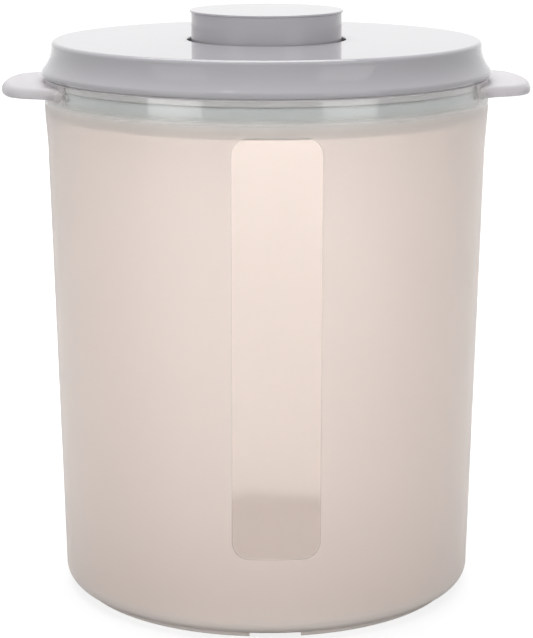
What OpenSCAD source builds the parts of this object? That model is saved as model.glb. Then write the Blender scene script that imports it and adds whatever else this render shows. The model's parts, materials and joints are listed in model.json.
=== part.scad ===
// Round food-storage bin with a push-button airtight lid.
// Units are millimetres. The bin stands on z = 0 and its axis is the Z axis.
// The sight strip is on the front, -Y, and the two carrying tabs are at -X and +X.
// The lid is drawn closed with its button up, which is the unsealed state.

/* [Bin body] */
// Outer radius of the wall at the rim
body_r = 129.4; // [115:0.2:145]
// Height of the rim above the surface that the bin stands on
rim_z = 305.2; // [260:0.2:340]
// Draft of the wall, in degrees
draft = 1.38; // [0.6:0.02:2.6]
// How much the wall swells outwards where the seal seats
swell = 0.8; // [0:0.1:1.6]
// Wall thickness
wall = 2.6; // [2:0.1:3.4]
// Floor thickness
floor_t = 3; // [2.4:0.1:4]
// Outer radius where the wall turns into the base
corner_r = 8.5; // [6:0.5:12]
// Height of the foot ring
foot_h = 2.8; // [2:0.2:4]
// Radial width of the foot ring
foot_w = 5.6; // [4:0.2:8]
// Width of each drain notch in the foot ring
notch_w = 29; // [16:1:40]

/* [Carrying tabs] */
// How far a tab stands out from the wall
tab_reach = 24.2; // [20:0.1:32]
// Half of a tab's width over its corners
tab_half = 46.5; // [40:0.5:52]
// Thickness of a tab
tab_t = 6; // [5.4:0.1:9]
// How far the tab's top lies below the rim
tab_drop = 3.2; // [1:0.2:10]
// Radius of a tab's bowed outer edge, seen from above
tab_bow = 115; // [80:5:200]
// Radius of a tab's outer corners, seen from above
tab_corner = 22; // [14:0.5:26]
// Radius of the hollow curve in which a tab runs into the wall
tab_fillet = 40; // [20:1:60]
// Rounding of a tab's upper edge
tab_edge = 4.2; // [2:0.1:4.4]
// Skin left round the hollow under a tab
tab_skin = 2.6; // [2:0.1:3]

/* [Sight strip] */
// Half of the strip's width
strip_half = 24.6; // [15:0.2:34]
// Height of the strip's lower end
strip_low = 48.5; // [30:0.5:120]
// How far the strip's upper end lies below the rim
strip_drop = 20.2; // [14:0.2:60]
// Corner radius of the strip
strip_corner = 10; // [4:0.5:14]
// Depth of the polished strip below the frosted wall
strip_depth = 0.35; // [0.2:0.05:0.6]

/* [Lid cover] */
// Height of the lid's top above the rim
lid_rise = 20; // [18:0.2:26]
// How far the lid's top edge lies inside the body's outer radius
lid_inset = 4.7; // [3.5:0.1:8]
// Thickness of the lid cover
lid_t = 2.4; // [1.8:0.1:3]
// Radius of the bead round the lid's lower edge
bead_r = 3; // [2.4:0.1:3.6]
// Rounding of the lid's top edge
lid_edge = 2.4; // [0.8:0.1:2.6]
// Number of screws that hold the cover to the seal carrier, which stand between the levers
screw_n = 8; // [4:4:8]

/* [Button] */
// Outer radius of the button's side
knob_r = 43.7; // [36:0.1:50]
// Height of the button's top above the lid when it is up
knob_proud = 16.8; // [16:0.1:22]
// How far the button travels
travel = 14; // [10:0.5:14.5]
// Overhang of the thin lip round the button's top
lip_over = 0.9; // [0.4:0.1:1.4]
// Gap between the button's side and the hole in the lid
hole_gap = 2.5; // [1.8:0.1:3.5]
// Wall thickness of the button
knob_t = 2.4; // [2:0.1:3]
// How far the button's skirt reaches below the lid's top when it is up
skirt_deep = 12; // [10:0.5:14]

/* [Seal] */
// Height of the seal ring
seal_h = 14; // [12:0.5:18]
// Radial width of the seal ring
seal_w = 7.6; // [6.5:0.1:10]
// Gap between the relaxed seal ring and the bin's wall
seal_gap = 0.35; // [0.3:0.05:0.8]
// How far the lift plate rises to squeeze the seal
lift = 2.7; // [2:0.1:3.2]
// Thickness of the seal carrier
carrier_t = 2.4; // [2:0.1:3]
// Thickness of the lift plate
plate_t = 2.4; // [2:0.1:3]

/* [Mechanism] */
// Distance of each lever's pivot from the lid's axis
lever_r = 84; // [78:0.5:90]
// Width of a lever
lever_w = 8; // [6:0.5:10]
// Radius of the lever pins
pin_r = 1.5; // [1.2:0.1:2]
// Radius of the sliding stem
stem_r = 10; // [9:0.1:11]
// Mean radius of the return spring
spring_r = 18.5; // [18:0.1:19]
// Radius of the spring wire
spring_wire = 0.9; // [0.7:0.05:1]
// Number of turns of the spring
spring_turns = 7; // [5:0.5:9]
// Radius of the latch pin's wire
latch_wire = 0.8; // [0.6:0.05:0.9]

/* [Clearances] */
// Gap between pieces that rest against each other
seat = 0.3; // [0.2:0.05:0.5]
// Radial gap of a pin in its bore
fit = 0.06; // [0.03:0.01:0.1]
// Side gap between sliding or swinging pieces
slide = 0.3; // [0.2:0.05:0.5]

/* [Hidden] */
$fn = 96;
eps = 0.01;          // overlap of solids that are joined
cut = 1;             // how far a cutter reaches past the face that it cuts
arc_step = 5;        // degrees between the points of a rounded profile

// bin body
swell_low = 262;                                        // the wall begins to swell at this height
swell_h = 26;
swell_n = 8;
base_z = foot_h + corner_r;                             // height where the base corner begins
foot_r = shell_r(base_z) - corner_r / cos(draft);       // the foot ring ends where the corner begins
floor_z = foot_h + floor_t;
inner_corner = corner_r - wall;
rim_round = 0.6;
foot_taper = 0.4;                                       // slope of the foot ring's inner side
foot_edge = 0.6;
notch_n = 4;

// carrying tabs
tab_top = rim_z - tab_drop;
tab_low = tab_top - tab_t;
tab_tip = body_r + tab_reach;
tab_under = 0.9;                                        // rounding of the lower edge
tab_hub = shell_r(tab_top);                             // wall radius at the tab
tab_core = tab_edge + 0.5;                              // the tab is flat on top inside this inset
core_lap = 1.5;                                         // the rounded edge pieces overlap the flat core
bow_lap = 0.3;                                          // angle by which the bow's halves overlap
bow_x = tab_tip - tab_bow;                              // centre of the bowed edge
corner_y = tab_half - tab_corner;
bow_a = asin(corner_y / (tab_bow - tab_corner));        // half of the angle that the bow spans
corner_x = bow_x + (tab_bow - tab_corner) * cos(bow_a);
fillet_c = tab_hub + tab_fillet;                        // distance of the fillet's centre from the axis
corner_c = norm([corner_x, corner_y]);
fillet_a = atan2(corner_y, corner_x)                    // direction of the fillet's centre
         + acos((pow(fillet_c, 2) + pow(corner_c, 2) - pow(tab_corner + tab_fillet, 2))
                / (2 * fillet_c * corner_c));
fillet_x = fillet_c * cos(fillet_a);
fillet_y = fillet_c * sin(fillet_a);
corner_a = atan2(fillet_y - corner_y, fillet_x - corner_x); // the corner turns into the fillet here

// lid cover
lid_top = rim_z + lid_rise;
lid_under = lid_top - lid_t;
lid_seat = rim_z + seat;                                // the cover's lower edge
lid_r = body_r - lid_inset;
bead_cut = 0.6 * bead_r;                                // the bead is flat below this depth
bead_z = lid_seat + bead_cut;
bead_over = 1.1;                                        // how far the bead stands out past the rim
bead_out = body_r + bead_over;
bead_x = bead_out - bead_r;
cove_z = lid_top - lid_edge;                            // the cove runs out upright here
cove_a = 2 * atan((bead_out - lid_r) / (cove_z - bead_z));
cove_r = (bead_out - lid_r) / (1 - cos(cove_a)) - bead_r;
cove_x = lid_r + cove_r;
hole_r = knob_r + hole_gap;
hole_edge = 0.8;
collar_t = 2.2;
collar_h = 8;
locate_t = 2;
locate_drop = 4;                                        // height of the centring ring above the deck
rib_n = 12;
rib_h = 3;
rib_t = 1.6;

// button
knob_top = lid_top + knob_proud;
crown_t = 2.6;                                          // thickness of the button's top
knob_under = knob_top - crown_t;
knob_low = lid_top - skirt_deep;                        // lower edge of the button's skirt
lip_h = 1;
lip_edge = 0.5;
skirt_edge = 0.6;
crown_round = 3;                                        // inner radius between the button's top and its side

// seal carrier, from the rim downwards
flange_drop = 4.4;
flange_low = rim_z - flange_drop;                       // underside of the flange above the seal
flange_r = inner_r(flange_low) - seat;
upstand_h = 5.7;
upstand_t = 2;
chamfer = 0.6;
seal_top = flange_low - seat;
seal_low = seal_top - seal_h;
seal_out = inner_r(seal_low) - seal_gap;
seal_in = seal_out - seal_w;
seal_round = 2;
groove_skin = 2.4;                                      // what is left of the seal in front of its groove
groove_round = 1;
hub_r = seal_in - seat;                                 // outer radius of the carrier's wall
hub_t = 2.2;
hub_in = hub_r - hub_t;
plate_rim_z = seal_low - seat;                          // top of the lift plate's rim
plate_step = 0.6;
plate_z = plate_rim_z - plate_step;                     // top of the lift plate's disc
plate_gap = 0.7;
plate_r = seal_out - plate_gap;
plate_dish = 0.7;                                       // how far the disc lies above the rim's underside
plate_round = 1.4;
rim_land = 13;                                          // width of the flat round the disc's underside
deck_gap = 0.2;
deck_low = plate_z + lift + deck_gap;                   // underside of the carrier's deck
deck = deck_low + carrier_t;                            // top of the carrier's deck
locate_r = hub_in - seat;                               // ring of the cover that centres the carrier

// screws that hold the cover
screw_inset = 10.4;
screw_ring = hub_in - screw_inset;
screw_r = 1.5;
screw_len = 14;
screw_head = 3;
screw_head_h = 2;
screw_sink = 0.7;                                       // depth of the screw's head in its counterbore
screw_bed = deck_low + screw_sink + screw_head_h;       // face that the screw's head bears on
pilot_spare = 2;                                        // length of a pilot hole past its screw's tip
recess_w = 0.8;                                         // width of the cross recess in a screw's head
pad_h = 3;
pad_top = deck + pad_h;
pad_r = 5;
boss_r = 3.6;

// levers, which turn the button's push into the plate's lift
nose_r = 2;
toe_r = 1.6;
knob_mid = knob_r - knob_t / 2;
lever_z = knob_low - seat - nose_r - travel / 2;        // pivot height, level with the nose at half travel
arm_in = sqrt(pow(lever_r - knob_mid, 2) + pow(travel / 4, 2));
tilt = asin(travel / 2 / arm_in);
arm_out = lift / 2 / sin(tilt);
lever_wall = 3;
lever_hub = pin_r + lever_wall;
neck = 1.1;                                             // half of the lever's thickness beside its toe
neck_len = 2;
ear_back = 7;
ear_front = 5.4;
ear_t = 2.7;
ear_gap = lever_w / 2 + slide;
ear_out = ear_gap + ear_t;
hook_t = 2.8;
hook_w = 2 * ear_out;
hook_r = lever_r + arm_out * cos(tilt);                 // the hook stands round the lever's toe
hook_bar = lever_z - lift / 2 + toe_r + seat;           // underside of the bar that the toe lifts
hook_sill = lever_z - lift / 2 - toe_r - 2 * seat;
hook_bar_h = 3.4;
slot_gap = 0.45;

// stem, spring and latch
stem_low = deck + travel + seat;
stem_plate_t = 2.5;
stem_boss_h = 4.9;
stem_plate_top = knob_under - stem_boss_h;
stem_plate_low = stem_plate_top - stem_plate_t;
stem_plate_r = 26;
stem_wall = 5.5;                                        // wall left round the stem's core hole
core_end = 4;                                           // stem left solid above the core hole
guide_in = stem_r + slide;
guide_t = 2;
guide_gap = 1;                                          // gap above the guide tube when the button is down
guide_top = stem_plate_low - travel - guide_gap;
stem_screw_ring = 22.6;
stem_screw_r = 1.2;
stem_screw_len = 7;
stem_screw_head = 2.3;
stem_screw_head_h = 1.6;
stem_screw_gap = 0.2;
stem_pilot = 5.2;
stem_boss_r = 3.2;
spring_low = deck + seat + spring_wire;
spring_top = stem_plate_low - seat - spring_wire;
spring_ease = 0.5;                                      // 0 is an even pitch, 1 closes the end turns
stem_flat = 2;
flat_y = stem_r - stem_flat;                            // flat on the stem's front for the cam track
track_deep = 1.6;
track_gap = 0.8;
track_w = 2 * latch_wire + track_gap;
track_mouth = 0.6;                                      // the track starts this far below the pin's tip
notch_drop = 2.6;                                       // depth of the notch that holds the button down
loop_top = 0.4;
loop_over = 0.2;
loop_foot = 6;                                          // the way back joins the way in at this height
latch_len = 13;
latch_tip_z = stem_low + 2.7;                           // upper leg of the latch pin
latch_z = latch_tip_z - latch_len;                      // pivot of the latch pin
latch_gap = 0.9;
latch_y = guide_in + guide_t + latch_wire + latch_gap;  // plane in which the latch pin swings
latch_swing = 2;                                        // sideways travel of the latch pin's tip
latch_hold = 0.5;                                       // gap between the pin's lower leg and the stem's bore
latch_pad = 6;
pad_out = latch_y - latch_wire - slot_gap / 2;
window_w = 2 * latch_swing + 4 * latch_wire;
window_h = 6;
latch_drop = latch_len - sqrt(pow(latch_len, 2) - pow(latch_swing, 2));

// share of the swell that the wall has at a height
function swell_share(z) = let (u = min(max((z - swell_low) / swell_h, 0), 1)) u * u * (3 - 2 * u);

// outer and inner radius of the bin's wall at a height
function shell_r(z) = body_r - (rim_z - z) * tan(draft) - swell * (1 - swell_share(z));
function inner_r(z) = shell_r(z) - wall / cos(draft);

// heights at which the wall's profile has its points
wall_z = [for (i = [0:swell_n]) swell_low + swell_h * i / swell_n];

// share of the spring's height reached at a share u of its turns
function spring_rise(u) = u - spring_ease / (2 * PI) * sin(360 * u);

// points on an arc about [x, y], from angle a to angle b
function arc(x, y, r, a, b) =
    let (n = max(2, ceil(abs(b - a) / arc_step)))
    [for (i = [0:n]) [x + r * cos(a + (b - a) * i / n), y + r * sin(a + (b - a) * i / n)]];

// ---------------------------------------------------------------- bin body

// solid of revolution inside the outer face of the wall, inset by d
module outer_form(d = 0) {
    rotate_extrude()
        polygon(concat(
            [[0, foot_h], [foot_r, foot_h]],
            arc(foot_r, base_z, corner_r - d, -90, -draft),
            [for (z = wall_z) [shell_r(z) - d, z]],
            [[shell_r(rim_z - rim_round) - d, rim_z - rim_round], [body_r - rim_round - d, rim_z],
             [0, rim_z]]));
}

module cavity() {
    z = floor_z + inner_corner;
    x = inner_r(z) - inner_corner / cos(draft);
    rotate_extrude()
        polygon(concat(
            [[0, floor_z], [x, floor_z]],
            arc(x, z, inner_corner, -90, -draft),
            [for (h = wall_z) [inner_r(h), h]],
            [[inner_r(rim_z - rim_round), rim_z - rim_round], [inner_r(rim_z) + rim_round, rim_z],
             [inner_r(rim_z) + rim_round, rim_z + cut], [0, rim_z + cut]]));
}

module foot_ring() {
    difference() {
        rotate_extrude()
            polygon([[foot_r - foot_w, foot_h + eps], [foot_r - foot_w + foot_taper, 0],
                     [foot_r - foot_edge, 0], [foot_r, foot_edge], [foot_r, foot_h + eps]]);
        for (i = [0:notch_n - 1])
            rotate(i * 360 / notch_n)
                translate([-notch_w / 2, -foot_r - cut, -cut])
                    cube([notch_w, foot_r / 2, foot_h + cut]);
    }
}

// half of a tab's section from x to w: flat on top, rounded towards the edge at w
function tab_section(x, w) = concat(
    [[x, tab_low], [w - tab_under, tab_low]],
    arc(w - tab_under, tab_low + tab_under, tab_under, -90, 0),
    arc(w - tab_edge, tab_top - tab_edge, tab_edge, 0, 90),
    [[x, tab_top]]);

// half of a tab's outline inset by d, from the middle of the bow to the wall
function tab_side(d) = concat(
    arc(bow_x, 0, tab_bow - d, 0, bow_a),
    arc(corner_x, corner_y, tab_corner - d, bow_a, corner_a),
    arc(fillet_x, fillet_y, tab_fillet + d, corner_a - 180, fillet_a - 180));

// outline of a tab inset by d
module tab_outline(d) {
    side = tab_side(d);
    n = len(side);
    polygon(concat(side, [for (i = [n - 1:-1:1]) [side[i][0], -side[i][1]]]));
}

module tab() {
    // flat core, whose underside lies just inside the edge pieces
    translate([0, 0, tab_low + eps])
        linear_extrude(tab_t - eps)
            tab_outline(tab_core);
    for (side = [0, 1])
        mirror([0, side, 0]) {
            // half of the bowed edge
            translate([bow_x, 0, 0])
                rotate(-bow_lap)
                    rotate_extrude(angle = bow_a + bow_lap)
                        polygon(tab_section(tab_bow - tab_core - core_lap, tab_bow));
            // rounded corner
            translate([corner_x, corner_y, 0])
                rotate(bow_a)
                    rotate_extrude(angle = corner_a - bow_a)
                        polygon(tab_section(tab_corner - tab_core - core_lap, tab_corner));
            // hollow curve that runs into the wall
            translate([fillet_x, fillet_y, 0])
                rotate(fillet_a - 180)
                    rotate_extrude(angle = corner_a - fillet_a)
                        polygon(concat(
                            arc(tab_fillet + tab_edge, tab_top - tab_edge, tab_edge, 90, 180),
                            arc(tab_fillet + tab_under, tab_low + tab_under, tab_under, 180, 270),
                            [[tab_fillet + tab_core + core_lap, tab_low],
                             [tab_fillet + tab_core + core_lap, tab_top]]));
        }
}

// hollow under a tab, open downwards
module tab_hollow() {
    difference() {
        translate([0, 0, tab_low - cut])
            linear_extrude(tab_t - tab_skin + cut)
                tab_outline(tab_skin);
        translate([0, 0, tab_low - 2 * cut])
            cylinder(r = tab_hub + tab_skin, h = tab_t + 2 * cut);
    }
}

// shallow polished strip in the front of the wall
module sight_strip() {
    c = strip_corner;
    top = rim_z - strip_drop;
    w = strip_half - c;
    difference() {
        translate([0, -body_r / 2, 0])
            rotate([90, 0, 0])
                linear_extrude(body_r)
                    polygon(concat(arc(w, top - c, c, 0, 90), arc(-w, top - c, c, 90, 180),
                                   arc(-w, strip_low + c, c, 180, 270),
                                   arc(w, strip_low + c, c, 270, 360)));
        outer_form(strip_depth);
    }
}

module bin_body() {
    color([0.90, 0.86, 0.82])
        union() {
            difference() {
                union() {
                    outer_form();
                    for (side = [0, 1])
                        mirror([side, 0, 0])
                            tab();
                }
                cavity();
                for (side = [0, 1])
                    mirror([side, 0, 0])
                        tab_hollow();
                sight_strip();
            }
            foot_ring();
        }
}

// ---------------------------------------------------------------- lid

module at_screws() {
    for (i = [0:screw_n - 1])
        rotate((i + 0.5) * 360 / screw_n)
            translate([screw_ring, 0, 0])
                children();
}

module lid_cover() {
    a = asin(bead_cut / bead_r);
    skin = cove_r + lid_t;
    turn = asin((cove_z - lid_under) / skin);
    color([0.80, 0.80, 0.82])
        difference() {
            union() {
                rotate_extrude()
                    polygon(concat(
                        arc(hole_r + hole_edge, lid_top - hole_edge, hole_edge, 180, 90),
                        arc(lid_r - lid_edge, lid_top - lid_edge, lid_edge, 90, 0),
                        arc(cove_x, cove_z, cove_r, 181, 180 + cove_a),
                        arc(bead_x, bead_z, bead_r, cove_a, -a),
                        [[cove_x - skin * cos(cove_a), lid_seat]],
                        arc(cove_x, cove_z, skin, 180 + cove_a, 180 + turn),
                        [[hole_r + collar_t, lid_under], [hole_r + collar_t, lid_under - collar_h],
                         [hole_r, lid_under - collar_h]]));
                // ring that centres the seal carrier
                rotate_extrude()
                    translate([locate_r - locate_t, deck + locate_drop])
                        square([locate_t, lid_under - deck - locate_drop + eps]);
                // ribs under the flat top
                for (i = [0:rib_n - 1])
                    rotate((i + 0.5) * 360 / rib_n)
                        translate([hole_r + collar_t - eps, -rib_t / 2, lid_under - rib_h])
                            cube([locate_r - locate_t / 2 - hole_r - collar_t, rib_t, rib_h + eps]);
                // bosses for the screws
                at_screws()
                    translate([0, 0, pad_top])
                        cylinder(r = boss_r, h = lid_under - pad_top + eps);
            }
            at_screws()
                translate([0, 0, screw_bed])
                    cylinder(r = screw_r + fit, h = screw_len + pilot_spare);
        }
}

module at_levers() {
    for (i = [0:3])
        rotate(i * 90)
            children();
}

// one ear that carries a lever pin, drawn in the XZ plane with the deck at deck
module ear() {
    rotate([90, 0, 0])
        linear_extrude(ear_t)
            polygon(concat([[lever_r - ear_back, deck - eps], [lever_r + ear_front, deck - eps]],
                           arc(lever_r, lever_z, lever_hub, 0, 180)));
}

module seal_carrier() {
    color([0.86, 0.87, 0.88])
        difference() {
            union() {
                rotate_extrude()
                    polygon([[0, deck_low], [hub_r - chamfer, deck_low], [hub_r, deck_low + chamfer],
                             [hub_r, flange_low], [flange_r - chamfer, flange_low],
                             [flange_r, flange_low + chamfer], [flange_r, flange_low + upstand_h],
                             [flange_r - upstand_t, flange_low + upstand_h],
                             [flange_r - upstand_t, flange_low + carrier_t],
                             [hub_in, flange_low + carrier_t], [hub_in, deck], [0, deck]]);
                // tube that guides the stem, with a pad for the latch pin
                translate([0, 0, deck - eps])
                    cylinder(r = guide_in + guide_t, h = guide_top - deck + eps);
                translate([-latch_pad / 2, -pad_out, latch_z - latch_pad / 2])
                    cube([latch_pad, pad_out - guide_in - guide_t / 2, latch_pad]);
                // ears that carry the lever pins
                at_levers()
                    for (side = [0, 1])
                        mirror([0, side, 0])
                            translate([0, ear_out, 0])
                                ear();
                // raised pads over the screw heads
                at_screws()
                    translate([0, 0, deck_low])
                        cylinder(r = pad_r, h = pad_top - deck_low);
            }
            translate([0, 0, deck])
                cylinder(r = guide_in, h = guide_top - deck + cut);
            // bore of the latch pin and the window that its tip reaches through
            translate([0, -guide_in + cut, latch_z])
                rotate([90, 0, 0])
                    cylinder(r = latch_wire + fit, h = pad_out - guide_in + 2 * cut);
            translate([-window_w / 2, -guide_in - guide_t - cut, latch_tip_z - window_h / 2])
                cube([window_w, guide_t + 3 * cut, window_h]);
            // bores of the lever pins
            at_levers()
                translate([lever_r, ear_out + cut, lever_z])
                    rotate([90, 0, 0])
                        cylinder(r = pin_r + fit, h = 2 * ear_out + 2 * cut);
            // slots for the lift plate's hooks
            at_levers()
                translate([hook_r - hook_t / 2 - slot_gap, -hook_w / 2 - slot_gap, deck_low - cut])
                    cube([hook_t + 2 * slot_gap, hook_w + 2 * slot_gap, carrier_t + 2 * cut]);
            at_screws() {
                translate([0, 0, deck_low - cut])
                    cylinder(r = screw_head + slot_gap, h = screw_bed - deck_low + cut);
                cylinder(r = screw_r + slide, h = pad_top + cut);
            }
        }
}

// soft ring with a groove in its back, so that it bulges outwards when it is squeezed
module seal_ring() {
    mid = (seal_low + seal_top) / 2;
    groove_x = seal_out - groove_skin - groove_round;
    color([0.74, 0.76, 0.75])
        rotate_extrude()
            polygon(concat(
                arc(seal_out - seal_round, seal_top - seal_round, seal_round, 90, 0),
                arc(seal_out - seal_round, seal_low + seal_round, seal_round, 0, -90),
                [[seal_in, seal_low], [seal_in, mid - seal_h / 4]],
                arc(groove_x, mid - seal_h / 4 + groove_round, groove_round, -90, 0),
                arc(groove_x, mid + seal_h / 4 - groove_round, groove_round, 0, 90),
                [[seal_in, mid + seal_h / 4], [seal_in, seal_top]]));
}

module lift_plate() {
    low = plate_z - plate_t;
    color([0.88, 0.89, 0.90])
        difference() {
            union() {
                rotate_extrude()
                    polygon(concat(
                        [[0, low + plate_dish], [hub_r - rim_land - plate_dish, low + plate_dish],
                         [hub_r - rim_land, low]],
                        arc(plate_r - plate_round, low + plate_round, plate_round, -90, 0),
                        [[plate_r, plate_rim_z], [hub_r + plate_step, plate_rim_z], [hub_r, plate_z],
                         [0, plate_z]]));
                // hooks that rise through the carrier and stand round the levers' toes
                at_levers()
                    translate([hook_r - hook_t / 2, -hook_w / 2, plate_z - eps])
                        cube([hook_t, hook_w, hook_bar + hook_bar_h - plate_z + eps]);
            }
            at_levers()
                translate([hook_r - hook_t, -lever_w / 2 - slide, hook_sill])
                    cube([2 * hook_t, lever_w + 2 * slide, hook_bar - hook_sill]);
        }
}

// ---------------------------------------------------------------- button

module at_stem_screws() {
    for (i = [0:2])
        rotate(90 + i * 120)
            translate([stem_screw_ring, 0, 0])
                children();
}

module button_cap() {
    lip_r = knob_r + lip_over;
    color([0.82, 0.82, 0.84])
        difference() {
            union() {
                rotate_extrude()
                    polygon(concat(
                        [[0, knob_top]],
                        arc(lip_r - lip_edge, knob_top - lip_edge, lip_edge, 90, 0),
                        arc(lip_r, knob_top - lip_h - lip_over, lip_over, 90, 180),
                        arc(knob_r - skirt_edge, knob_low + skirt_edge, skirt_edge, 0, -90),
                        [[knob_r - knob_t, knob_low]],
                        arc(knob_r - knob_t - crown_round, knob_under - crown_round, crown_round, 0, 90),
                        [[0, knob_under]]));
                at_stem_screws()
                    translate([0, 0, stem_plate_top])
                        cylinder(r = stem_boss_r, h = knob_under - stem_plate_top + eps);
            }
            at_stem_screws()
                translate([0, 0, stem_plate_top - cut])
                    cylinder(r = stem_screw_r + fit, h = stem_pilot + cut);
        }
}

// straight stroke of the cam track, w wide, between two points
module stroke(a, b, w) {
    d = b - a;
    translate(a)
        circle(d = w);
    translate(b)
        circle(d = w);
    translate(a)
        rotate(atan2(d[1], d[0]))
            translate([0, -w / 2])
                square([norm(d), w]);
}

// heart-shaped track: in along the right branch, rest in the notch, out along the left one
module cam_track() {
    foot = latch_tip_z - track_mouth;
    high = latch_tip_z + travel - latch_drop;
    left = -latch_swing - loop_over;
    path = [[0, foot], [latch_swing, high], [-loop_over, high - notch_drop], [left, high - loop_top],
            [left, latch_tip_z + loop_foot], [0, foot]];
    for (i = [0:len(path) - 2])
        stroke(path[i], path[i + 1], track_w);
}

module cam_stem() {
    color([0.93, 0.93, 0.90])
        difference() {
            union() {
                translate([0, 0, stem_low])
                    cylinder(r = stem_r, h = stem_plate_top - stem_low);
                translate([0, 0, stem_plate_low])
                    cylinder(r = stem_plate_r, h = stem_plate_t);
            }
            // flat on the front, and the track cut into it
            translate([-stem_r, -2 * stem_r, stem_low - cut])
                cube([2 * stem_r, 2 * stem_r - flat_y, stem_plate_low - stem_low + cut]);
            translate([0, -flat_y + track_deep, 0])
                rotate([90, 0, 0])
                    linear_extrude(track_deep + cut)
                        cam_track();
            // core hole
            translate([0, 0, stem_low - cut])
                cylinder(r = stem_r - stem_wall, h = stem_plate_low - core_end - stem_low + cut);
            at_stem_screws()
                translate([0, 0, stem_plate_low - cut])
                    cylinder(r = stem_screw_r + stem_screw_gap, h = stem_plate_t + 2 * cut);
        }
}

// pan-head screw, head downwards with its bearing face at z = 0
module screw(r, head, head_h, length) {
    translate([0, 0, -head_h])
        difference() {
            cylinder(r = head, h = head_h);
            // cross recess
            for (a = [0, 90])
                rotate(a)
                    translate([-head * 0.6, -recess_w / 2, -cut])
                        cube([head * 1.2, recess_w, cut + head_h / 2]);
        }
    translate([0, 0, -eps])
        cylinder(r = r, h = length + eps);
}

module stem_screws() {
    color([0.62, 0.63, 0.65])
        at_stem_screws()
            translate([0, 0, stem_plate_low])
                screw(stem_screw_r, stem_screw_head, stem_screw_head_h, stem_screw_len);
}

module cover_screws() {
    color([0.62, 0.63, 0.65])
        at_screws()
            translate([0, 0, screw_bed])
                screw(screw_r, screw_head, screw_head_h, screw_len);
}

// ---------------------------------------------------------------- mechanism

// compression spring as one swept tube, with closer turns at both ends
module return_spring() {
    sides = 6;
    per_turn = 16;
    rings = spring_turns * per_turn;
    h = spring_top - spring_low;
    points = [for (i = [0:rings])
        let (u = i / rings, a = 360 * spring_turns * u, z = spring_low + h * spring_rise(u))
        for (k = [0:sides - 1])
            let (b = 360 * k / sides, r = spring_r + spring_wire * cos(b))
            [r * cos(a), r * sin(a), z + spring_wire * sin(b)]];
    faces = concat(
        [[for (k = [sides - 1:-1:0]) k]],
        [for (i = [0:rings - 1]) for (k = [0:sides - 1])
            let (p = i * sides + k, q = i * sides + (k + 1) % sides)
            for (f = [[p, q, p + sides], [q, q + sides, p + sides]]) f],
        [[for (k = [0:sides - 1]) rings * sides + k]]);
    color([0.72, 0.73, 0.75])
        polyhedron(points, faces);
}

// bent wire: its lower leg turns in the guide tube and its upper leg runs in the cam track
module latch_pin() {
    color([0.70, 0.71, 0.73]) {
        translate([0, -latch_y, latch_z])
            cylinder(r = latch_wire, h = latch_len);
        for (z = [latch_z, latch_tip_z])
            translate([0, -latch_y, z])
                sphere(r = latch_wire);
        translate([0, -guide_in - latch_hold, latch_z])
            rotate([90, 0, 0])
                cylinder(r = latch_wire, h = latch_y - guide_in - latch_hold);
        translate([0, -flat_y + track_deep - seat, latch_tip_z])
            rotate([90, 0, 0])
                cylinder(r = latch_wire, h = latch_y - flat_y + track_deep - seat);
    }
}

// one lever at rest, its nose raised under the button and its toe low in the hook
module lever() {
    translate([lever_r, lever_w / 2, lever_z])
        rotate([0, tilt, 0])
            rotate([90, 0, 0])
                difference() {
                    linear_extrude(lever_w)
                        polygon(concat(
                            arc(-arm_in, 0, nose_r, 90, 270),
                            arc(0, 0, lever_hub, 240, 330),
                            [[arm_out - neck_len, -neck]],
                            arc(arm_out, 0, toe_r, -90, 90),
                            [[arm_out - neck_len, neck]],
                            arc(0, 0, lever_hub, 30, 120)));
                    translate([0, 0, -cut])
                        cylinder(r = pin_r + fit, h = lever_w + 2 * cut);
                }
}

module lever_at(angle) {
    color([0.92, 0.90, 0.84])
        rotate(angle)
            lever();
}

module lever_pins() {
    color([0.72, 0.73, 0.75])
        at_levers()
            translate([lever_r, ear_out, lever_z])
                rotate([90, 0, 0])
                    cylinder(r = pin_r, h = 2 * ear_out);
}

bin_body();
lid_cover();
seal_carrier();
seal_ring();
lift_plate();
button_cap();
cam_stem();
stem_screws();
return_spring();
latch_pin();
lever_at(-90);  // lever_front
lever_at(0);  // lever_right
lever_at(90);  // lever_back
lever_at(180);  // lever_left
lever_pins();
cover_screws();
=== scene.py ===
"""Round food-storage bin with a push-button airtight lid: its finishes, the studio and the camera."""

import json
import math

import bpy
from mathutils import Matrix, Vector


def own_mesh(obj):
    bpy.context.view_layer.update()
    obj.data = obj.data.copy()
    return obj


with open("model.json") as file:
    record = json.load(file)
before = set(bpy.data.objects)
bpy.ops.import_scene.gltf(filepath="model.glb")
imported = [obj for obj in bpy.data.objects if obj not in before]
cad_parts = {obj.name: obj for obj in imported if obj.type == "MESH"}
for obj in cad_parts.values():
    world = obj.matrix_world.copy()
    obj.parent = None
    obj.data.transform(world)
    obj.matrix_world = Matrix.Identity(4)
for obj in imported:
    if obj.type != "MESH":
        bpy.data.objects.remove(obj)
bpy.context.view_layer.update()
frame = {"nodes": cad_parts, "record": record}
MM = 0.001

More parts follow.
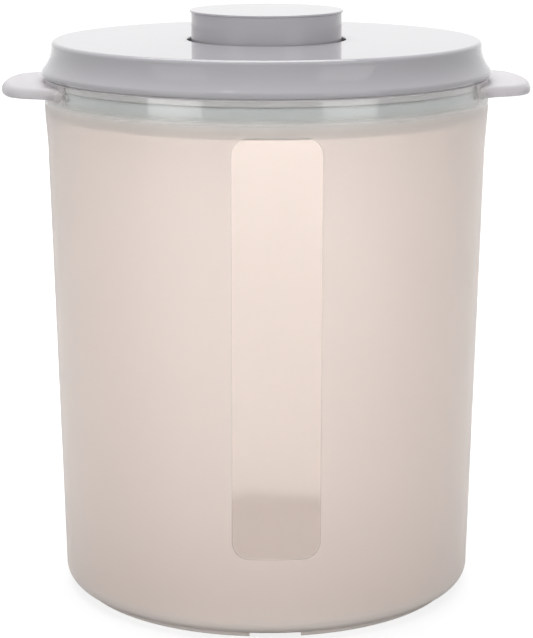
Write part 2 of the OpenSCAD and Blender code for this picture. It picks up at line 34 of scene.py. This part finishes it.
# Sizes that the finishes follow, in millimetres, as the solids have them.
RIM_Z = 305.2            # top of the bin's wall
RIM_R = 129.4            # outer radius of the wall at the rim
DRAFT = 1.38             # slope of the wall, in degrees
SWELL = 0.8              # the wall stands out by this much more where the seal presses on it
SWELL_LOW = 262.0        # the swell begins at this height
SWELL_TOP = 288.0        # the swell is complete at this height
WALL = 2.6               # thickness of the wall
FACE_FADE = 0.4          # half of the depth over which the inner face's finish turns into the outer's
STRIP_HALF = 24.6        # half of the sight strip's width
STRIP_LOW = 48.5         # lower end of the sight strip
STRIP_TOP = 285.0        # upper end of the sight strip
STRIP_CORNER = 10.0      # corner radius of the sight strip
STRIP_FADE = 0.25        # half of the width of the strip's soft edge
BAND_LOW = 287.0         # the wall turns clear above this height, where the seal presses on it
BAND_FADE = 9.0          # height over which it turns clear
BAND_TOP = 304.2         # the rim's rounded top is milky again
RIM_FADE = 0.2           # half of the height over which the rim turns milky
FOOT_TOP = 3.0           # the foot ring ends at about this height
CORNER_TOP = 17.0        # the wall runs into the thicker base corner below this height
TAB_LOW = 290.5          # the wall turns milky above this height where a tab stands on it
TAB_TOP = 296.5          # it is milky above this height
TAB_HALF = 62.0          # half of the width over which a tab runs into the wall
TAB_FADE = 14.0          # width over which the wall turns clear beside a tab
TAB_ROOT = 0.2           # a tab begins to turn milky this far out from the rim
TAB_OUT = 4.0            # it is all milky this far out

# Share of the light that each zone of the bin lets through.
INNER_PASS = 0.88        # the wall's inner face
OUTER_PASS = 0.48        # its milky outer face
FOOT_PASS = 0.2          # part of the wall's own share that the thick foot lets through
STRIP_PASS = 0.74
BAND_PASS = 0.93
MILKY_PASS = 0.4         # the tabs and the rim's top

# Sizes of the studio, in metres.
FLOOR_SIZE = 30.0
FLOOR_GAP = 0.0003       # the floor lies this far under the foot ring
SHADE_IN = 0.11          # the floor is darkest up to this far from the bin's axis
SHADE_OUT = 0.4          # it is white from here on
BOUNCE_SHADE_IN = 0.12           # the floor sends back the least light up to this far from the bin's axis
BOUNCE_SHADE_OUT = 0.35          # it sends back the most from here on
SOFTBOX_AWAY = 1.5       # distance of the side softboxes from the bin's axis
SOFTBOX_WIDTH = 0.75


# ---------------------------------------------------------------- node helpers


class Graph:
    """A material's node tree, with short calls for the nodes that the finishes use."""

    def __init__(self, name, **constants):
        self.material = bpy.data.materials.new(name)
        self.material.use_nodes = True
        self.tree = self.material.node_tree
        self.tree.nodes.clear()
        self.shader = self.add("ShaderNodeBsdfPrincipled")
        output = self.add("ShaderNodeOutputMaterial")
        self.tree.links.new(self.shader.outputs["BSDF"], output.inputs["Surface"])
        for socket, value in constants.items():
            self.shader.inputs[socket.replace("_", " ")].default_value = value

    def add(self, kind, **settings):
        node = self.tree.nodes.new(kind)
        for key, value in settings.items():
            setattr(node, key, value)
        return node

    def feed(self, socket, value):
        """Links an output to a socket, or sets the socket to a number or colour."""
        if isinstance(value, bpy.types.NodeSocket):
            self.tree.links.new(value, socket)
        else:
            socket.default_value = value

    def math(self, operation, first, second=0.0, third=0.0):
        node = self.add("ShaderNodeMath", operation=operation)
        for socket, value in zip(node.inputs, (first, second, third)):
            self.feed(socket, value)
        return node.outputs[0]

    def length(self, first, second):
        """Root of the sum of two squares."""
        squares = self.math("ADD", self.math("MULTIPLY", first, first), self.math("MULTIPLY", second, second))
        return self.math("SQRT", squares)

    def smooth(self, value, low, high, start=0.0, end=1.0):
        """Goes smoothly from start to end as value goes from low to high."""
        node = self.add("ShaderNodeMapRange", interpolation_type="SMOOTHSTEP")
        for socket, number in zip(node.inputs, (value, low, high, start, end)):
            self.feed(socket, number)
        return node.outputs["Result"]

    def place(self):
        """X, Y and Z of the point in the object's own frame, in metres."""
        coordinates = self.add("ShaderNodeTexCoord")
        split = self.add("ShaderNodeSeparateXYZ")
        self.feed(split.inputs[0], coordinates.outputs["Object"])
        return split.outputs

    def noise(self, scale, detail=3.0, stretch=(1, 1, 1)):
        """Noise from 0 to 1, in the object's own frame, drawn out along an axis by a small stretch."""
        coordinates = self.add("ShaderNodeTexCoord")
        mapping = self.add("ShaderNodeMapping")
        node = self.add("ShaderNodeTexNoise")
        mapping.inputs["Scale"].default_value = stretch
        self.feed(mapping.inputs["Vector"], coordinates.outputs["Object"])
        self.feed(node.inputs["Vector"], mapping.outputs["Vector"])
        node.inputs["Scale"].default_value = scale
        node.inputs["Detail"].default_value = detail
        return node.outputs["Fac"]

    def mix(self, factor, first, second):
        """Mix of two colours."""
        node = self.add("ShaderNodeMix", data_type="RGBA")
        self.feed(node.inputs["Factor"], factor)
        self.feed(node.inputs["A"], (*first, 1) if isinstance(first, tuple) else first)
        self.feed(node.inputs["B"], (*second, 1) if isinstance(second, tuple) else second)
        return node.outputs["Result"]

    def bump(self, layers):
        """Raises the surface by several heights from 0 to 1, each with its depth in metres."""
        normal = None
        for height, depth in layers:
            node = self.add("ShaderNodeBump")
            node.inputs["Distance"].default_value = depth
            self.feed(node.inputs["Height"], height)
            if normal is not None:
                self.feed(node.inputs["Normal"], normal)
            normal = node.outputs["Normal"]
        self.feed(self.shader.inputs["Normal"], normal)


def moulded(name, low, high, rough, grain, depth, waviness=0.00002, **constants):
    """A moulded plastic whose colour drifts between two near tones, with a fine grain and slow flow waves."""
    g = Graph(name, **constants)
    drift = g.noise(18.0, 2.0)
    fine = g.noise(grain, 4.0)
    g.feed(g.shader.inputs["Base Color"], g.mix(drift, low, high))
    g.feed(g.shader.inputs["Roughness"], g.smooth(fine, 0.3, 0.7, rough[0], rough[1]))
    g.bump([(g.noise(30.0, 1.0), waviness), (fine, depth)])
    return g.material


# ---------------------------------------------------------------- finishes


def bin_plastic():
    """Milky polypropylene: frosted inside, satin outside, polished in the sight strip and under the rim."""
    g = Graph("bin_plastic", IOR=1.49)
    x, y, z = g.place()
    radius = g.length(x, y)

    # 1 on the wall's outer face, 0 on its inner face
    slope = math.tan(math.radians(DRAFT))
    middle = g.math("MULTIPLY_ADD", z, slope, (RIM_R - WALL / 2 - SWELL - RIM_Z * slope) * MM)
    middle = g.math("ADD", middle, g.smooth(z, SWELL_LOW * MM, SWELL_TOP * MM, 0.0, SWELL * MM))
    outer = g.smooth(g.math("SUBTRACT", radius, middle), -FACE_FADE * MM, FACE_FADE * MM)

    # 1 inside the rounded rectangle of the sight strip
    half_h = (STRIP_TOP - STRIP_LOW) / 2
    centre = (STRIP_TOP + STRIP_LOW) / 2
    across = g.math("MAXIMUM", g.math("SUBTRACT", g.math("ABSOLUTE", x), (STRIP_HALF - STRIP_CORNER) * MM))
    along = g.math("ABSOLUTE", g.math("SUBTRACT", z, centre * MM))
    along = g.math("MAXIMUM", g.math("SUBTRACT", along, (half_h - STRIP_CORNER) * MM))
    edge = g.length(across, along)
    strip = g.smooth(edge, (STRIP_CORNER - STRIP_FADE) * MM, (STRIP_CORNER + STRIP_FADE) * MM, 1.0, 0.0)
    strip = g.math("MULTIPLY", strip, g.math("LESS_THAN", y, 0.0))

    # 1 in the band that the seal shows through, 0 on the rim's top and at the tabs
    band = g.smooth(z, BAND_LOW * MM, (BAND_LOW + BAND_FADE) * MM)
    rim = g.smooth(z, (BAND_TOP - RIM_FADE) * MM, (BAND_TOP + RIM_FADE) * MM)
    tab = g.smooth(g.math("ABSOLUTE", y), (TAB_HALF - TAB_FADE) * MM, TAB_HALF * MM, 1.0, 0.0)
    tab = g.math("MULTIPLY", tab, g.smooth(z, TAB_LOW * MM, TAB_TOP * MM))
    tab = g.math("MAXIMUM", tab, g.smooth(radius, (RIM_R + TAB_ROOT) * MM, (RIM_R + TAB_OUT) * MM))
    milky_and_shaded = g.math("MAXIMUM", tab, rim)
    band = g.math("MULTIPLY", band, g.math("SUBTRACT", 1.0, milky_and_shaded))
    clear = g.math("MAXIMUM", strip, band)

    drift = g.noise(14.0, 2.0)
    frost = g.noise(1100.0, 3.0)
    # painted warm glow: the cream cast of the wall and the sight strip stands in for warm light shining
    # through the wall; the pale milky tone is the plastic's own
    wall_tone_with_painted_glow = g.mix(drift, (0.955, 0.875, 0.825), (0.97, 0.895, 0.85))
    tone = g.mix(strip, wall_tone_with_painted_glow, (0.985, 0.925, 0.885))
    tone = g.mix(band, tone, (0.93, 0.93, 0.92))
    # painted shade: the tabs and the rim's top take a darker grey than the rest of the same plastic, which
    # holds back the overhead light on these upward faces; the neutral hue is the plastic's own
    tone = g.mix(milky_and_shaded, tone, (0.66, 0.635, 0.655))
    g.feed(g.shader.inputs["Base Color"], tone)

    frosted = g.smooth(outer, 0.0, 1.0, 0.62, 0.36)
    frosted = g.math("MULTIPLY_ADD", frost, 0.08, frosted)
    polished = g.math("MULTIPLY_ADD", frost, 0.02, 0.08)
    rough = g.math("ADD", g.math("MULTIPLY", clear, polished),
                   g.math("MULTIPLY", g.math("SUBTRACT", 1.0, clear), frosted))
    g.feed(g.shader.inputs["Roughness"], rough)

    # the milky outer face scatters light, and the wall behind it and the polished zones let it through
    passing = g.smooth(outer, 0.0, 1.0, INNER_PASS, OUTER_PASS)
    passing = g.math("MULTIPLY", passing, g.smooth(z, FOOT_TOP * MM, CORNER_TOP * MM, FOOT_PASS, 1.0))
    passing = g.math("MAXIMUM", passing, g.math("MULTIPLY", strip, STRIP_PASS))
    passing = g.math("ADD", g.math("MULTIPLY", passing, g.math("SUBTRACT", 1.0, milky_and_shaded)),
                     g.math("MULTIPLY", milky_and_shaded, MILKY_PASS))
    passing = g.math("MAXIMUM", passing, g.math("MULTIPLY", band, BAND_PASS))
    g.feed(g.shader.inputs["Transmission Weight"], passing)
    matte = g.math("MULTIPLY", frost, g.math("SUBTRACT", 1.0, clear))
    g.bump([(g.noise(22.0, 1.0, (1, 1, 0.4)), 0.00004), (matte, 0.00001)])
    return g.material


def lid_plastic():
    """Glossy light grey moulding."""
    return moulded("lid_plastic", (0.395, 0.385, 0.407), (0.412, 0.402, 0.424), (0.03, 0.06), 900.0, 0.000003)


def carrier_plastic():
    """Satin grey moulding of the seal carrier and the lift plate."""
    return moulded("carrier_plastic", (0.50, 0.49, 0.49), (0.53, 0.52, 0.52), (0.28, 0.40), 700.0, 0.00001)


def seal_silicone():
    """Soft grey-green silicone with a faint bloom."""
    return moulded("seal_silicone", (0.48, 0.515, 0.51), (0.52, 0.555, 0.55), (0.38, 0.52), 1200.0, 0.00001,
                   Specular_IOR_Level=0.4)


def mechanism_plastic():
    """Natural acetal with a fine machined-looking satin."""
    return moulded("mechanism_plastic", (0.78, 0.76, 0.68), (0.83, 0.81, 0.74), (0.30, 0.42), 1500.0, 0.00001)


def bright_steel():
    """Drawn wire and plated screws: metal with fine drawing lines."""
    g = Graph("bright_steel", Metallic=1.0)
    lines = g.noise(2500.0, 2.0, (1, 1, 0.08))
    g.feed(g.shader.inputs["Base Color"], g.mix(g.noise(120.0), (0.56, 0.57, 0.59), (0.66, 0.66, 0.67)))
    g.feed(g.shader.inputs["Roughness"], g.smooth(lines, 0.3, 0.7, 0.18, 0.34))
    g.bump([(lines, 0.000004)])
    return g.material


def dress_nodes():
    """Gives every CAD node the finish of its material slot."""
    finishes = {
        "bin_plastic": bin_plastic(),
        "lid_plastic": lid_plastic(),
        "carrier_plastic": carrier_plastic(),
        "seal_silicone": seal_silicone(),
        "mechanism_plastic": mechanism_plastic(),
        "bright_steel": bright_steel(),
    }
    for part in frame["record"]["subparts"]:
        node = frame["nodes"][part["node"]]
        node.data.materials.clear()
        node.data.materials.append(finishes[part["material_slot"]])


def smooth_arcs(node):
    """Shades the short facets of a turned profile as one curve."""
    weld = node.modifiers.new("weld", "WELD")
    weld.merge_threshold = 0.001 * MM
    split = node.modifiers.new("split", "EDGE_SPLIT")
    split.use_edge_sharp = False
    split.split_angle = math.radians(14)
    node.modifiers.new("normals", "WEIGHTED_NORMAL")


def squash_soft_nodes():
    """Gives the return spring and the seal ring each a mesh of its own."""
    for node, joint, kept_end in (("return_spring", "button_press", 0), ("seal_ring", "plate_lift", 1)):
        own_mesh(frame["nodes"][node])


# ---------------------------------------------------------------- studio


def seen_directly(g):
    """1 for rays from the camera and for rays that a glossy or clear surface sends on."""
    path = g.add("ShaderNodeLightPath")
    seen = g.math("MAXIMUM", path.outputs["Is Camera Ray"], path.outputs["Is Glossy Ray"])
    return g.math("MAXIMUM", seen, path.outputs["Is Transmission Ray"])


def make_world(ambient, glossy):
    """Even light of the ambient level; the camera and clear plastic see white, and gloss its own level."""
    world = bpy.data.worlds.new("studio")
    bpy.context.scene.world = world
    world.use_nodes = True
    tree = world.node_tree
    path = tree.nodes.new("ShaderNodeLightPath")
    level = ambient
    for ray, seen in (("Is Glossy Ray", glossy), ("Is Transmission Ray", 1.0), ("Is Camera Ray", 1.0)):
        mix = tree.nodes.new("ShaderNodeMix")
        tree.links.new(path.outputs[ray], mix.inputs["Factor"])
        if isinstance(level, float):
            mix.inputs["A"].default_value = level
        else:
            tree.links.new(level, mix.inputs["A"])
        mix.inputs["B"].default_value = seen
        level = mix.outputs["Result"]
    background = tree.nodes["Background"]
    background.inputs["Color"].default_value = (1.0, 1.0, 1.0, 1.0)
    tree.links.new(level, background.inputs["Strength"])


def make_floor():
    """Pale floor: white to the camera, with the object's soft shadow, and duller as a reflector, with painted
    shade near the bin that darkens the bin's base corner.
    """
    bpy.ops.mesh.primitive_plane_add(size=FLOOR_SIZE, location=(0, 0, -FLOOR_GAP))
    floor = bpy.context.object
    floor.name = "floor"
    g = Graph("floor_paper", Roughness=0.9)
    x, y, _ = g.place()
    away = g.length(x, y)
    seen = seen_directly(g)
    grain = g.noise(40.0)
    lit = g.mix(grain, (0.20, 0.20, 0.20), (0.22, 0.22, 0.22))
    dull = g.mix(grain, (0.34, 0.34, 0.34), (0.38, 0.38, 0.38))
    # painted shade: near the bin the floor sends back less light, which deepens the shade on the bin's base
    # corner
    dull = g.mix(g.smooth(away, BOUNCE_SHADE_IN, BOUNCE_SHADE_OUT), (0.14, 0.14, 0.14), dull)
    g.feed(g.shader.inputs["Base Color"], g.mix(seen, dull, lit))
    g.feed(g.shader.inputs["Emission Color"], (1, 1, 1, 1))
    glow = g.smooth(away, SHADE_IN, SHADE_OUT, 0.8, 1.0)
    g.feed(g.shader.inputs["Emission Strength"], g.math("MULTIPLY", seen, glow))
    floor.data.materials.append(g.material)


def area_lamp(name, place, target, size, radiance):
    """Rectangular softbox of one radiance, aimed at a point; its size is width by height, in metres."""
    light = bpy.data.lights.new(name, "AREA")
    light.shape = "RECTANGLE"
    light.size, light.size_y = size
    light.energy = radiance * math.pi * size[0] * size[1]
    lamp = bpy.data.objects.new(name, light)
    lamp.location = place
    lamp.rotation_euler = (Vector(target) - Vector(place)).to_track_quat("-Z", "Y").to_euler()
    lamp.visible_camera = False
    bpy.context.scene.collection.objects.link(lamp)
    return lamp


def make_lamps():
    area_lamp("overhead", (-0.1, 0.22, 1.8), (0, 0, 0.3), (1.4, 1.4), 4.2)
    # broad fill from beside the camera, too large and soft to show in the gloss
    fill = area_lamp("fill", (-0.2, -2.05, 0.9), (0, 0, 0.15), (1.4, 1.2), 2.7)
    fill.visible_glossy = False
    # light through the wall from behind, which makes the milky plastic glow
    back = area_lamp("back", (0.5, 1.7, 0.7), (0, 0, 0.15), (1.6, 1.2), 3.9)
    back.visible_glossy = False
    # softboxes on both sides of the camera, which show as patches in the gloss, brightest low down
    for name, bearing, bottom, top, radiance in (
            ("low_left", -48.0, 0.046, 0.19, 3.9),
            ("tall_left", -48.0, 0.36, 1.4, 0.7),
            ("low_right", 38.5, 0.046, 0.19, 3.0),
            ("tall_right", 38.5, 0.36, 1.4, 1.0)):
        side = math.radians(bearing)
        middle = (bottom + top) / 2
        place = (SOFTBOX_AWAY * math.sin(side), -SOFTBOX_AWAY * math.cos(side), middle)
        area_lamp(name, place, (0, 0, middle), (SOFTBOX_WIDTH, top - bottom), radiance)


def make_camera():
    """The photograph's view: from a little left of the front, 12.7 degrees down."""
    bearing = math.radians(-2.6)
    distance, height, pitch = 1.27014, 0.44525, 0.22237
    camera = bpy.data.cameras.new("camera")
    camera.sensor_width = 36.0
    camera.lens = 122.85
    camera.clip_end = 60.0
    view = bpy.data.objects.new("camera", camera)
    view.location = (distance * math.sin(bearing), -distance * math.cos(bearing), height)
    view.rotation_euler = (math.pi / 2 - pitch, 0.0, bearing)
    bpy.context.scene.collection.objects.link(view)
    bpy.context.scene.camera = view


# ---------------------------------------------------------------- the scene


dress_nodes()
for name in ("lid_cover", "button_cap"):
    smooth_arcs(frame["nodes"][name])
squash_soft_nodes()
make_world(0.3, 1.05)
make_floor()
make_lamps()
make_camera()
bpy.context.scene.view_settings.view_transform = "Standard"
